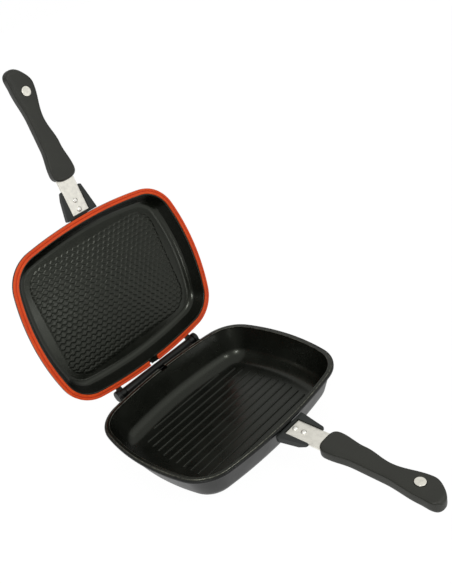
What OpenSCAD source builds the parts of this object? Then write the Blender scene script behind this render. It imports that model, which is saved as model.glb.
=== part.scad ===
// Double sided flip pan: a deep ribbed pan and a shallower lid pan, hinged along one long side.
// Millimetres, +Z up. The origin is the centre of the flat foot of the base pan.
// +X runs from the hinge to the handles and +Y runs along the hinge. The lid is drawn open.

/* [Pan outline] */
// Width of the base rim, from the hinge side to the handle side
rim_width = 242; // [230:1:256]
// Length of the base rim, along the hinge
rim_length = 300; // [286:1:320]
// Radius of the bow in the long sides
long_side_radius = 615; // [560:5:760]
// Radius of the bow in the short sides
short_side_radius = 310; // [290:5:380]
// Radius of the four corners
corner_radius = 54; // [52:1:58]

/* [Base pan] */
// Height of the base pan, from its foot to its rim
base_height = 53; // [51:0.5:58]
// Slope of the base wall away from upright
base_slope = 20; // [18:0.5:22]
// Thickness of the base wall
base_wall = 3.2; // [2.6:0.1:3.8]
// Thickness of the base floor
base_floor = 4.6; // [4:0.1:6]
// Radius between the base wall and the foot, outside
base_foot_radius = 26; // [24:0.5:28]
// Radius between the base wall and the floor, inside
base_inner_radius = 22; // [19:0.5:24]
// How far the base rim stands out beyond the wall under it
base_rim_reach = 4.5; // [4:0.1:5.5]
// Thickness of the base rim
base_rim_t = 4.5; // [4:0.1:5.5]

/* [Grill ribs] */
// Number of ribs on the base floor
rib_count = 13; // [7:2:13]
// Distance from rib to rib
rib_pitch = 13.25; // [11:0.05:13.4]
// Width of a rib
rib_width = 2.6; // [2:0.1:4]
// Height of a rib above the floor
rib_height = 1.8; // [1.4:0.1:3]
// Distance from the middle of the pan to the end of the middle rib
rib_reach = 99; // [85:1:100]
// How much shorter the two outermost ribs are at each end
rib_corner_cut = 20; // [12:1:30]

/* [Lid pan] */
// Height of the lid pan, from its rim to its top
lid_height = 27; // [25:0.5:32]
// Slope of the lid wall away from upright
lid_slope = 24; // [22:0.5:26]
// Thickness of the lid wall
lid_wall = 3; // [2.6:0.1:3.4]
// Thickness of the lid floor
lid_floor = 3; // [2.6:0.1:4]
// Radius between the lid wall and its top, outside
lid_outer_radius = 15; // [13:0.5:17]
// Radius between the lid wall and its floor, inside
lid_inner_radius = 12; // [10:0.5:14]
// How far the lid rim stands out beyond the wall next to it
lid_rim_reach = 6.5; // [6.2:0.1:7]
// Thickness of the lid rim
lid_rim_t = 4.5; // [4:0.1:5.5]
// How much further out the lid rim goes than the base rim
lid_overhang = 1.2; // [0.8:0.1:1.6]

/* [Seal and vent] */
// Width of the silicone seal
seal_width = 7.8; // [7:0.1:8]
// How far the seal stands out of the lid rim
seal_proud = 1.8; // [1.5:0.1:2.5]
// Width of the tongue that holds the seal in its groove
seal_tongue_w = 2.6; // [2:0.1:3]
// Depth of that tongue
seal_tongue_h = 2.2; // [1.5:0.1:2.6]
// Gap between the closed seal and the base rim
seal_gap = 0.3; // [0.2:0.05:0.5]
// Length of the steam vent in the seal, at the hinge side
vent_length = 17; // [14:0.5:20]
// Width of the notch under it in the base rim
notch_width = 11; // [8:0.5:13]
// Depth of that notch
notch_depth = 4; // [3:0.1:4.2]
// Width of the slot in the lid rim
slot_width = 7; // [5:0.5:9]
// Depth of that slot
slot_depth = 2.4; // [1.5:0.1:3]

/* [Hinge] */
// Distance from the base rim to the hinge axis
axis_offset = 7; // [6.8:0.1:8]
// Depth of the hinge axis below the base rim
axis_drop = 2; // [1.6:0.1:2.6]
// How far the lid stands open
open_angle = 102; // [98:0.5:104]
// Radius of the two outer knuckles, on the base
drum_radius = 8.5; // [8:0.1:9]
// Length of one outer knuckle
drum_length = 6.5; // [6:0.5:10]
// Radius of the lid knuckles
lid_knuckle_radius = 6.2; // [6:0.1:6.4]
// Length of one lid knuckle
lid_knuckle_length = 8.2; // [6:0.2:10]
// Radius of the long barrel between the lid knuckles, on the base
barrel_radius = 5.4; // [5:0.1:5.6]
// Half the length of that barrel
barrel_half = 65.5; // [60:0.5:68]
// Play at each side of a lid knuckle
knuckle_play = 0.4; // [0.3:0.05:0.6]
// Diameter of the hinge pins
pin_diameter = 5; // [4:0.1:5.5]
// How far a pin reaches into the barrel
pin_grip = 14; // [8:0.5:20]
// Running clearance round a pin in the lid knuckle, on the radius
pin_clearance = 0.06; // [0.04:0.01:0.1]
// Length of the heel that stops the open lid under the base rim
heel_length = 14; // [13.4:0.1:14.4]
// Gap between the heel and its stop
heel_gap = 0.15; // [0.1:0.05:0.25]

/* [Handle mounting] */
// Width of the steel strap
strap_width = 27; // [25:0.5:29]
// Thickness of the steel strap
strap_t = 2.5; // [2:0.1:3]
// Depth of the strap's top below the base rim
strap_drop = 6.3; // [6:0.1:7]
// Distance from the base rim to the strap's inner end
strap_offset = 5; // [4.5:0.1:6]
// Width of the strap inside the grip
tang_width = 16; // [12:0.5:18]
// Length of the strap inside the grip
tang_length = 70; // [58:1:84]
// Side clearance of the strap between the bracket wings
wing_clearance = 0.6; // [0.4:0.1:1]
// Length of the bracket
bracket_length = 41; // [38:0.5:43]
// Half the outer width of the bracket at the pan
bracket_root = 25.2; // [23.6:0.1:28]
// Half the outer width of the bracket at the ends of its wings
bracket_tip = 17.8; // [17:0.1:20]
// Thickness of the bracket's floor under the strap
bracket_floor = 3; // [2.5:0.1:3.5]
// Thickness of the bracket's wall beside the pan
bracket_back = 3.6; // [3:0.1:4]
// Depth of the bracket's top below the base rim
bracket_drop = 4.3; // [3.6:0.1:5]
// Thickness of the cast lug under the bracket
lug_t = 6; // [5:0.1:7]
// Width of the cast lug
lug_width = 24; // [20:0.5:26]
// Diameter of the rivet shanks
rivet_shank = 5; // [4:0.1:5.5]
// Diameter of the rivet heads
rivet_head = 7.6; // [7:0.1:9]
// Height of the rivet heads
rivet_head_h = 2.2; // [1.6:0.1:2.6]
// Distance from the strap's inner end to the first rivet
rivet_inset = 5; // [4.6:0.1:6]
// Distance between the two rivets
rivet_pitch = 13.2; // [11:0.1:15]

/* [Grip] */
// Distance from the base rim to the grip
grip_offset = 53; // [50:0.5:56]
// Length of the grip
grip_length = 156; // [148:1:166]
// Half the width of the grip near the pan
grip_butt = 18.4; // [17:0.2:21]
// Half the width of the grip where the forefinger ends
grip_finger = 13.8; // [13:0.2:16]
// Half the width of the grip at its waist
grip_waist = 10.6; // [10:0.2:12.6]
// Half the width of the grip near its tip
grip_head = 16.9; // [15:0.2:19]
// Thickness of the grip
grip_t = 17; // [15.5:0.5:20]
// Depth of the grip's inner face below the base rim, at the grip's start
grip_drop = 0.6; // [0.5:0.1:1]
// How far both handles slope down from the rim, with the pan shut
handle_slope = 1.45; // [0:0.05:1.8]
// How far each handle stands off from the other until the seal is pressed
handle_spread = 0.25; // [0:0.05:0.5]
// Diameter of the magnet
magnet_diameter = 13.5; // [11:0.5:16]
// Thickness of the magnet
magnet_t = 4.2; // [3:0.1:5]
// Distance from the tip of the grip to the magnet
magnet_inset = 31.5; // [28:0.5:36]
// Gap between the two magnets when the pan is closed
magnet_gap = 0.8; // [0.5:0.1:1.2]
// Diameter of the screw that holds the grip
grip_screw = 4; // [3:0.1:5]
// Distance from the grip's inner end to its screw
grip_screw_inset = 44; // [30:1:55]

/* [Hidden] */
$fn = 96;

cut = 1;               // how far a cutter runs past the face that it opens
fit = 0.05;            // clearance round a piece that is held
rim_clearance = 0.2;   // gap between the bracket and the rim
half_w = rim_width / 2;
half_l = rim_length / 2;

// The outline is eight tangent arcs. The corner's centre is where both bows leave it room.
long_centre = [half_w - long_side_radius, 0];
short_centre = [0, half_l - short_side_radius];
corner_centre = circle_meet(long_centre, long_side_radius - corner_radius,
                            short_centre, short_side_radius - corner_radius);
long_end = atan2(corner_centre[1] - long_centre[1], corner_centre[0] - long_centre[0]);
corner_end = atan2(corner_centre[1] - short_centre[1], corner_centre[0] - short_centre[0]);
// Places along the outline, counterclockwise: the arc's centre, its radius and the angle on it
stations = concat(
    arc_places(long_centre, long_side_radius, -long_end, long_end, 8),
    arc_places(corner_centre, corner_radius, long_end, corner_end, 9),
    arc_places(short_centre, short_side_radius, corner_end, 180 - corner_end, 10),
    arc_places([-corner_centre[0], corner_centre[1]], corner_radius, 180 - corner_end,
               180 - long_end, 9),
    arc_places(-long_centre, long_side_radius, 180 - long_end, 180 + long_end, 8),
    arc_places(-corner_centre, corner_radius, 180 + long_end, 180 + corner_end, 9),
    arc_places(-short_centre, short_side_radius, 180 + corner_end, 360 - corner_end, 10),
    arc_places([corner_centre[0], -corner_centre[1]], corner_radius, 360 - corner_end,
               360 - long_end, 9));

axis_x = -half_w - axis_offset;
axis_z = base_height - axis_drop;
drum_start = barrel_half + lid_knuckle_length + 2 * knuckle_play;
drum_end = drum_start + drum_length;
knuckle_start = barrel_half + knuckle_play;
drum_chamfer = 1.5;
pin_bore = pin_diameter / 2 + pin_clearance;

closed_z = base_height + seal_gap / 2;      // the plane that the two halves mirror across
lid_rim_z = base_height + seal_gap + seal_proud;
seal_centre = lid_overhang - seal_width / 2;

strap_top = base_height - strap_drop;
strap_start = half_w + strap_offset;
bracket_z = strap_top - strap_t - bracket_floor;
lug_z = bracket_z - lug_t;
lug_margin = 3;        // metal beyond the outer rivet's head
lug_end = strap_start + rivet_inset + rivet_pitch + rivet_head / 2 + lug_margin;
grip_start = half_w + grip_offset;
grip_end = grip_start + grip_length;
grip_top = base_height - grip_drop;
tang_end = grip_start + tang_length;
magnet_x = grip_end - magnet_inset;
magnet_rise = (magnet_x - grip_start) * tan(handle_spread);    // so that the magnets still meet
magnet_top = closed_z - magnet_gap / 2 + magnet_rise;
screw_x = grip_start + grip_screw_inset;
base_bend = handle_slope + handle_spread;
lid_bend = handle_spread - handle_slope;    // drawn on the base's side, before it is turned over
shoulder_x = grip_start + 14;    // where the strap narrows to its tang
screw_sink = 3.4;                // depth of the grip screw's seat
screw_head_h = 2.2;
lug_root = half_w - 24;          // the lug starts inside the wall, which trims it
lug_rib_t = 3.4;                 // thickness of the two ribs under the lug
lug_rib_h = 9;
web_run = 24;                    // how far a hinge web runs in before the wall trims it
web_drop = 21;                   // depth of its foot below the rim
notch_run = base_rim_reach + base_wall + 2 * notch_depth;
slot_run = lid_rim_reach + lid_wall + slot_depth;

// The grip's form along X
butt_round = 13;                 // length of the rounding at the pan end
tip_round = 24;                  // length of the rounding at the tip
edge_round = 6;                  // length over which both ends thin out
grip_sides = 24;
butt_x = grip_start + butt_round;
finger_x = grip_start + 0.31 * grip_length;
waist_x = grip_start + 0.555 * grip_length;
head_x = grip_end - tip_round;
butt_shift = 1.3;                // how far the middle line lies to the side, from butt to tip
finger_shift = 1;
waist_shift = -2.1;
head_shift = -0.5;
tip_shift = -6.5;
rivet_places = [strap_start + rivet_inset, strap_start + rivet_inset + rivet_pitch];

function circle_meet(a, ra, b, rb) =
    let (span = norm(b - a), u = (b - a) / span,
         along = (ra * ra - rb * rb + span * span) / (2 * span),
         across = sqrt(ra * ra - along * along))
    a + along * u + across * [-u[1], u[0]];

function arc_places(centre, radius, from, to, steps) =
    [for (i = [0 : steps - 1]) [centre, radius, from + (to - from) * i / steps]];

function arc(centre, radius, from, to, steps) =
    [for (i = [0 : steps]) let (a = from + (to - from) * i / steps)
        centre + radius * [cos(a), sin(a)]];

// The outline at one point of a section: [distance out from the base rim, height]
function ring(place) =
    [for (s = stations) let (r = s[1] + place[0])
        [s[0][0] + r * cos(s[2]), s[0][1] + r * sin(s[2]), place[1]]];

function strip(row, next, n) =
    [for (j = [0 : n - 1]) let (k = (j + 1) % n)
        each [[row * n + j, next * n + j, next * n + k], [row * n + j, next * n + k, row * n + k]]];

// A solid swept round the outline, whose section starts and ends on a flat face
module swept_solid(section) {
    n = len(stations);
    last = len(section) - 1;
    polyhedron([for (p = section) each ring(p)],
               concat([for (row = [0 : last - 1]) each strip(row, row + 1, n)],
                      [[for (j = [0 : n - 1]) j]],
                      [[for (j = [n - 1 : -1 : 0]) last * n + j]]));
}

// A ring swept round the outline, whose section is a closed loop
module swept_ring(section) {
    n = len(stations);
    rows = len(section);
    polyhedron([for (p = section) each ring(p)],
               [for (row = [0 : rows - 1]) each strip(row, (row + 1) % rows, n)]);
}

// How far out the outer face of a wall lies at height z
function wall_place(z, height, rim_t, reach, slope) = -reach - (height - rim_t - z) * tan(slope);

// The section of a pan that stands on its foot: foot, wall, rim, wall and floor
function pan_section(height, floor_t, rim_t, reach, slope, wall, outer_r, inner_r, grow, land) =
    let (edge = 1.4,
         outer_c = [grow + wall_place(outer_r, height, rim_t, reach, slope)
                    - outer_r / cos(slope), outer_r],
         inner_c = [grow + wall_place(floor_t + inner_r, height, rim_t, reach, slope)
                    - (wall + inner_r) / cos(slope), floor_t + inner_r],
         lip = grow + wall_place(height, height, rim_t, reach, slope) - wall / cos(slope))
    concat(
        arc(outer_c, outer_r, -90, -slope, 6),
        [[grow - reach, height - rim_t]],
        arc([grow - edge, height - rim_t + edge], edge, -90, 0, 2),
        arc([grow - edge, height - edge], edge, 0, 90, 3),
        land,
        [[lip + 0.8, height], [lip - 0.3, height - 0.8]],
        arc(inner_c, inner_r, -slope, -90, 6));

module ring_pin(y, length, radius) {
    translate([axis_x, y, axis_z]) rotate([-90, 0, 0]) cylinder(r = radius, h = length);
}

// A web from a hinge barrel to the wall of the base pan, below the rim
module hinge_web(y, length, radius) {
    inner_x = -half_w + web_run;
    foot_z = base_height - web_drop;
    seat = 0.97 * radius;
    translate([0, y + length, 0]) rotate([90, 0, 0]) linear_extrude(length)
        polygon([[axis_x, axis_z + 0.4 * radius], [-half_w + base_rim_reach, axis_z],
                 [inner_x, axis_z], [inner_x, foot_z - base_wall], [-half_w + web_run / 2, foot_z],
                 [axis_x + seat * cos(240), axis_z + seat * sin(240)]]);
}

// What lies inside the middle of a pan's wall: it trims the lugs and webs that grow from the wall
module within_wall(height, floor_t, rim_t, reach, slope, wall, inner_r, grow) {
    top = height + cut;
    centre = [grow + wall_place(floor_t + inner_r, height, rim_t, reach, slope)
              - (wall + inner_r) / cos(slope), floor_t + inner_r];
    swept_solid(concat(
        arc(centre, inner_r + wall / 2, -90, -slope, 6),
        [[grow - wall / 2 / cos(slope) + wall_place(top, height, rim_t, reach, slope), top]]));
}

module base_hinge() {
    ring_pin(-barrel_half, 2 * barrel_half, barrel_radius);
    hinge_web(-barrel_half, 2 * barrel_half, barrel_radius);
    for (side = [0, 1]) mirror([0, side, 0]) {
        ring_pin(drum_start, drum_length - drum_chamfer, drum_radius);
        translate([axis_x, drum_end - drum_chamfer, axis_z]) rotate([-90, 0, 0])
            cylinder(r1 = drum_radius, r2 = drum_radius - drum_chamfer, h = drum_chamfer);
        hinge_web(drum_start, drum_length - drum_chamfer, drum_radius);
    }
}

// The cast lug that carries a handle, with a rib along each edge so that the rivets can be set
module handle_lug() {
    translate([lug_root, -lug_width / 2, lug_z]) cube([lug_end - lug_root, lug_width, lug_t]);
    for (side = [0, 1]) mirror([0, side, 0])
        translate([0, lug_width / 2, 0]) rotate([90, 0, 0]) linear_extrude(lug_rib_t)
            polygon([[lug_root, lug_z - lug_rib_h], [(lug_root + half_w) / 2, lug_z - lug_rib_h],
                     [lug_end - lug_t, lug_z], [lug_end - lug_t, lug_z + cut],
                     [lug_root, lug_z + cut]]);
}

module rib(i) {
    x = (i - (rib_count - 1) / 2) * rib_pitch;
    outermost = i == 0 || i == rib_count - 1;
    bow = x * x / (2 * short_side_radius);
    half = rib_reach - bow - (outermost ? rib_corner_cut : 0) - rib_width / 2;
    crown = rib_width / 2;
    body_h = rib_height - crown + 0.5;
    translate([x, half, base_floor - 0.5]) rotate([90, 0, 0]) linear_extrude(2 * half) {
        translate([-crown, 0]) square([rib_width, body_h]);
        translate([0, body_h]) circle(r = crown, $fn = 24);
    }
}

module base_pan() color([0.17, 0.17, 0.165]) {
    bead = [[-2.4, base_height], [-2.9, base_height - 0.6], [-3.4, base_height]];
    difference() {
        union() {
            swept_solid(pan_section(base_height, base_floor, base_rim_t, base_rim_reach, base_slope,
                                    base_wall, base_foot_radius, base_inner_radius, 0, bead));
            difference() {
                union() {
                    base_hinge();
                    handle_lug();
                }
                within_wall(base_height, base_floor, base_rim_t, base_rim_reach, base_slope,
                            base_wall, base_inner_radius, 0);
            }
            for (i = [0 : rib_count - 1]) rib(i);
        }
        // steam notch in the rim at the hinge side
        translate([-half_w - 2 * cut, -notch_width / 2, base_height - notch_depth])
            cube([notch_run, notch_width, notch_depth + cut]);
        for (side = [0, 1]) mirror([0, side, 0])
            ring_pin(barrel_half - pin_grip, drum_end - barrel_half + pin_grip + cut, pin_diameter / 2);
        for (x = rivet_places) translate([x, 0, lug_z - cut])
            cylinder(d = rivet_shank, h = lug_t + 2 * cut);
    }
}

// The U-shaped bracket: a wall beside the pan, a floor under the strap and two tapering wings.
// Its wall stands clear of a rim that goes out by grow.
module bracket(grow = 0) {
    top = base_height - bracket_drop;
    start = half_w + grow + rim_clearance;
    wall_end = half_w + rim_clearance + bracket_back;
    tip_x = half_w + rim_clearance + bracket_length;
    slot = strap_width / 2 + wing_clearance;
    tip_lift = 4;          // how far the wings' lower edges rise towards their ends
    tip_round = 2;
    outline = [[start, -bracket_root], [start, bracket_root], [wall_end, bracket_root],
               [tip_x - tip_round / 2, bracket_tip], [tip_x, bracket_tip - tip_round],
               [tip_x, -bracket_tip + tip_round], [tip_x - tip_round / 2, -bracket_tip],
               [wall_end, -bracket_root]];
    difference() {
        intersection() {
            translate([0, 0, bracket_z]) linear_extrude(top - bracket_z) polygon(outline);
            translate([0, bracket_root + cut, 0]) rotate([90, 0, 0])
                linear_extrude(2 * (bracket_root + cut))
                    polygon([[start, bracket_z], [lug_end, bracket_z],
                             [tip_x, bracket_z + tip_lift], [tip_x, top - tip_round / 2],
                             [tip_x - tip_round, top],
                             [start, top]]);
        }
        // channel for the strap, open at the tips
        translate([wall_end, -slot, bracket_z + bracket_floor])
            cube([bracket_length + cut, 2 * slot, top]);
        // the floor ends over the lug, and the wings go on
        translate([lug_end, -slot, bracket_z - cut]) cube([bracket_length, 2 * slot, top]);
        for (x = rivet_places) translate([x, 0, bracket_z - cut])
            cylinder(d = rivet_shank, h = bracket_floor + 2 * cut);
    }
}

// Bends what is drawn level down by an angle, from where the strap enters the grip
module bent(slope) {
    translate([grip_start, 0, strap_top]) rotate([0, slope, 0])
        translate([-grip_start, 0, -strap_top]) children();
}

// The steel strap, level under the rivets and bent down by slope inside the grip
module strap(slope) {
    reach = tang_end - grip_start;
    end = [grip_start + reach * cos(slope), strap_top - reach * sin(slope)];
    difference() {
        translate([0, strap_width / 2, 0]) rotate([90, 0, 0]) linear_extrude(strap_width)
            polygon([[strap_start, strap_top], [strap_start, strap_top - strap_t],
                     [grip_start, strap_top - strap_t],
                     end - strap_t * [sin(slope), cos(slope)], end, [grip_start, strap_top]]);
        // the tang is narrower than the strap
        bent(slope) for (side = [0, 1]) mirror([0, side, 0])
            translate([shoulder_x, tang_width / 2, strap_top - strap_t - cut])
                cube([tang_length, strap_width, strap_t + 2 * cut]);
        for (x = rivet_places) translate([x, 0, strap_top - strap_t - cut])
            cylinder(d = rivet_shank, h = strap_t + 2 * cut);
        bent(slope) translate([screw_x, 0, strap_top - strap_t - cut])
            cylinder(d = grip_screw, h = strap_t + 2 * cut);
    }
}

// A rivet: a domed head on the strap, a shank through strap, bracket and lug, and a closing head
module rivet() {
    foot_h = 1.8;
    dome_r = (rivet_head * rivet_head / 4 + rivet_head_h * rivet_head_h) / (2 * rivet_head_h);
    intersection() {
        translate([0, 0, strap_top + rivet_head_h - dome_r]) sphere(r = dome_r);
        translate([0, 0, strap_top]) cylinder(d = rivet_head, h = rivet_head_h + cut);
    }
    translate([0, 0, lug_z]) cylinder(d = rivet_shank, h = strap_top - lug_z + rivet_head_h / 2);
    translate([0, 0, lug_z - foot_h]) cylinder(d1 = rivet_head - 1, d2 = rivet_head, h = foot_h);
}

module rivets() {
    for (x = rivet_places) translate([x, 0, 0]) rivet();
}

// The grip is a loft along X: a butt, a stop for the forefinger, a waist and a head. Its middle line
// swings from side to side, which leaves one side straighter than the other.
function ease(t) = (1 - cos(180 * min(1, max(0, t)))) / 2;
// A smooth course through [x, value] points
function course(points, x, i = 0) = i >= len(points) - 2 || x < points[i + 1][0]
    ? let (a = points[i], b = points[i + 1]) a[1] + (b[1] - a[1]) * ease((x - a[0]) / (b[0] - a[0]))
    : course(points, x, i + 1);
function end_shrink(x, power) =
    let (a = max(0, (butt_x - x) / butt_round), b = max(0, (x - head_x) / tip_round))
    pow(max(0, 1 - pow(a, power)), 1 / power) * pow(max(0, 1 - pow(b, 2)), 0.5);
function grip_half_width(x) = end_shrink(x, 2.4) * course([[butt_x, grip_butt],
    [finger_x, grip_finger], [waist_x, grip_waist], [head_x, grip_head]], x);
function grip_middle(x) = course([[butt_x, butt_shift], [finger_x, finger_shift],
    [waist_x, waist_shift], [head_x, head_shift], [grip_end, tip_shift]], x);
function edge_shrink(x) =
    let (a = min(1, (x - grip_start) / edge_round), b = min(1, (grip_end - x) / edge_round))
    0.35 + 0.65 * pow(1 - pow(1 - a, 2), 0.5) * pow(1 - pow(1 - b, 2), 0.5);

// A superellipse: squarer at the flat inner face than at the palm side
function grip_ring(x) =
    let (w = grip_half_width(x), h = grip_t / 2 * edge_shrink(x), m = grip_middle(x),
         mid_z = grip_top - grip_t / 2)
    [for (i = [0 : grip_sides - 1])
        let (a = 360 * (i + 0.5) / grip_sides, p = sin(a) > 0 ? 0.34 : 0.52)
        [x, m + w * sign(cos(a)) * pow(abs(cos(a)), p),
         mid_z + h * sign(sin(a)) * pow(abs(sin(a)), p)]];

grip_stations = concat(
    [for (a = [12, 25, 40, 58, 75]) butt_x - butt_round * cos(a)],
    [for (i = [0 : 16]) butt_x + (head_x - butt_x) * i / 16],
    [for (a = [72, 54, 38, 24, 12]) head_x + tip_round * cos(a)]);

module grip_body() {
    n = grip_sides;
    last = len(grip_stations) - 1;
    points = [for (x = grip_stations) each grip_ring(x)];
    sides = [for (s = [0 : last - 1], i = [0 : n - 1])
        let (a = s * n + i, b = s * n + (i + 1) % n)
        each [[a, b, b + n], [a, b + n, a + n]]];
    start_cap = [for (i = [n - 1 : -1 : 0]) i];
    end_cap = [for (i = [0 : n - 1]) last * n + i];
    polyhedron(points, concat(sides, [start_cap, end_cap]));
}

module grip() {
    difference() {
        grip_body();
        // pocket for the strap
        translate([grip_start - cut, -strap_width / 2 - fit, strap_top - strap_t - fit])
            cube([shoulder_x - grip_start + cut + fit, strap_width + 2 * fit, strap_t + 2 * fit]);
        translate([grip_start, -tang_width / 2 - fit, strap_top - strap_t - fit])
            cube([tang_length + fit, tang_width + 2 * fit, strap_t + 2 * fit]);
        // seat for the magnet
        translate([magnet_x, 0, magnet_top - magnet_t - fit])
            cylinder(d = magnet_diameter + 2 * fit, h = magnet_t + cut);
        // hole and seat for the screw, from the palm side
        translate([screw_x, 0, grip_top - grip_t - cut])
            cylinder(d = grip_screw + 2 * fit, h = strap_top - strap_t - grip_top + grip_t + cut);
        translate([screw_x, 0, grip_top - grip_t - cut])
            cylinder(d = 2 * (grip_screw + 2 * fit), h = screw_sink + cut);
    }
}

module grip_screw_body() {
    head_z = grip_top - grip_t + screw_sink;
    translate([screw_x, 0, head_z]) cylinder(d = grip_screw, h = strap_top - head_z);
    translate([screw_x, 0, head_z - screw_head_h])
        cylinder(d1 = 1.65 * grip_screw, d2 = 2 * grip_screw, h = screw_head_h);
}

module magnet() {
    chamfer = 0.4;
    translate([magnet_x, 0, magnet_top - magnet_t]) {
        cylinder(d = magnet_diameter, h = magnet_t - chamfer);
        translate([0, 0, magnet_t - chamfer])
            cylinder(d1 = magnet_diameter, d2 = magnet_diameter - 2 * chamfer, h = chamfer);
    }
}

module hinge_pin() {
    ring_pin(barrel_half - pin_grip, drum_end - barrel_half + pin_grip - 0.5, pin_diameter / 2);
}

// Turns what is drawn closed to the open lid
module opened() {
    translate([axis_x, 0, axis_z]) rotate([0, -open_angle, 0]) translate([-axis_x, 0, -axis_z])
        children();
}

// Puts a copy of a base handle piece on the closed lid, then opens it
module on_lid() {
    opened() translate([0, 0, 2 * closed_z]) mirror([0, 0, 1]) children();
}

// Turns a pan that stands on its foot over, onto the seal
module turned_over() {
    translate([0, 0, lid_rim_z + lid_height]) mirror([0, 0, 1]) children();
}

// The seal's section, clockwise from the middle of its groove: lip, tongue and lip
function seal_section() =
    let (c = seal_centre, z = base_height + seal_gap, w = seal_width / 2, t = seal_tongue_w / 2,
         lip = 0.8, groove = [0.75, 0.7])
    [[c, z + groove[1]], [c - groove[0], z], [c - w + lip, z], [c - w, z + lip],
     [c - w, z + seal_proud], [c - t, z + seal_proud], [c - t, z + seal_proud + seal_tongue_h],
     [c + t, z + seal_proud + seal_tongue_h], [c + t, z + seal_proud], [c + w, z + seal_proud],
     [c + w, z + lip], [c + w - lip, z], [c + groove[0], z]];

module seal() {
    difference() {
        swept_ring(seal_section());
        translate([-half_w - lid_overhang - cut, -vent_length / 2, base_height])
            cube([seal_width + 3 * cut, vent_length,
                  lid_rim_z - base_height + seal_tongue_h + cut]);
    }
}

// The arm from a lid knuckle to the lid's rim
module lid_arm() {
    flange_top = lid_rim_z + lid_rim_t;
    edge_x = -half_w - lid_overhang;
    seat = 0.97 * lid_knuckle_radius;
    translate([0, knuckle_start + lid_knuckle_length, 0]) rotate([90, 0, 0])
        linear_extrude(lid_knuckle_length)
            polygon([[axis_x + seat * cos(100), axis_z + seat * sin(100)],
                     [edge_x + lid_rim_reach, flange_top], [edge_x + lid_rim_reach + 2, flange_top],
                     [edge_x + lid_rim_reach + 2, lid_rim_z], [edge_x + 3, lid_rim_z],
                     [axis_x + seat * cos(12), axis_z + seat * sin(12)]]);
}

// The heel stops the open lid: it comes up under the rim of the base
module lid_heel() {
    top = base_height - base_rim_t - heel_gap;
    bottom = axis_z - 0.95 * lid_knuckle_radius;
    translate([axis_x, knuckle_start, bottom]) cube([heel_length, lid_knuckle_length, top - bottom]);
}

module lid_pan() color([0.17, 0.17, 0.165]) {
    // groove for the seal's tongue, seen with the lid on its back
    g = seal_tongue_w / 2 + fit;
    groove_z = lid_height - seal_tongue_h - fit;
    groove = [[seal_centre + g, lid_height], [seal_centre + g, groove_z],
              [seal_centre - g, groove_z], [seal_centre - g, lid_height]];
    difference() {
        union() {
            opened() turned_over()
                swept_solid(pan_section(lid_height, lid_floor, lid_rim_t, lid_rim_reach, lid_slope,
                                        lid_wall, lid_outer_radius, lid_inner_radius, lid_overhang,
                                        groove));
            difference() {
                on_lid() handle_lug();
                opened() turned_over()
                    within_wall(lid_height, lid_floor, lid_rim_t, lid_rim_reach, lid_slope,
                                lid_wall, lid_inner_radius, lid_overhang);
            }
            for (side = [0, 1]) mirror([0, side, 0]) {
                opened() lid_arm();
                ring_pin(knuckle_start, lid_knuckle_length, lid_knuckle_radius);
                lid_heel();
            }
        }
        // slot that lets the steam out
        opened() translate([-half_w - lid_overhang - cut, -slot_width / 2, lid_rim_z - cut])
            cube([slot_run + 2 * cut, slot_width, slot_depth + cut]);
        for (side = [0, 1]) mirror([0, side, 0]) ring_pin(knuckle_start - cut,
            lid_knuckle_length + 2 * cut, pin_bore);
        on_lid() for (x = rivet_places) translate([x, 0, lug_z - cut])
            cylinder(d = rivet_shank, h = lug_t + 2 * cut);
    }
}

module base_bracket() color([0.2, 0.2, 0.19]) bracket();
module base_strap() color([0.8, 0.79, 0.74]) strap(base_bend);
module base_rivets() color([0.82, 0.81, 0.76]) rivets();
module base_grip() color([0.22, 0.22, 0.2]) bent(base_bend) grip();
module base_grip_screw() color([0.7, 0.7, 0.68]) bent(base_bend) grip_screw_body();
module base_magnet() color([0.84, 0.83, 0.77]) bent(base_bend) magnet();
module hinge_pin_left() color([0.6, 0.6, 0.6]) mirror([0, 1, 0]) hinge_pin();
module hinge_pin_right() color([0.6, 0.6, 0.6]) hinge_pin();
module lid_seal() color([0.78, 0.23, 0.12]) opened() seal();
module lid_bracket() color([0.2, 0.2, 0.19]) on_lid() bracket(lid_overhang);
module lid_strap() color([0.8, 0.79, 0.74]) on_lid() strap(lid_bend);
module lid_rivets() color([0.82, 0.81, 0.76]) on_lid() rivets();
module lid_grip() color([0.22, 0.22, 0.2]) on_lid() bent(lid_bend) grip();
module lid_grip_screw() color([0.7, 0.7, 0.68]) on_lid() bent(lid_bend) grip_screw_body();
module lid_magnet() color([0.84, 0.83, 0.77]) on_lid() bent(lid_bend) magnet();

base_pan();
base_bracket();
base_strap();
base_rivets();
base_grip();
base_grip_screw();
base_magnet();
hinge_pin_left();
hinge_pin_right();
lid_pan();
lid_seal();
lid_bracket();
lid_strap();
lid_rivets();
lid_grip();
lid_grip_screw();
lid_magnet();
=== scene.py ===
"""Looks of a double sided flip pan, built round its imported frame.

Sizes are in millimetres in the frame's axes: +X runs from the hinge to the handles, +Y along the
hinge, +Z up, with the origin at the centre of the foot. Meshes are written in metres.
"""
import math

import bmesh
import bpy
import numpy as np
from mathutils import Matrix, Vector


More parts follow.
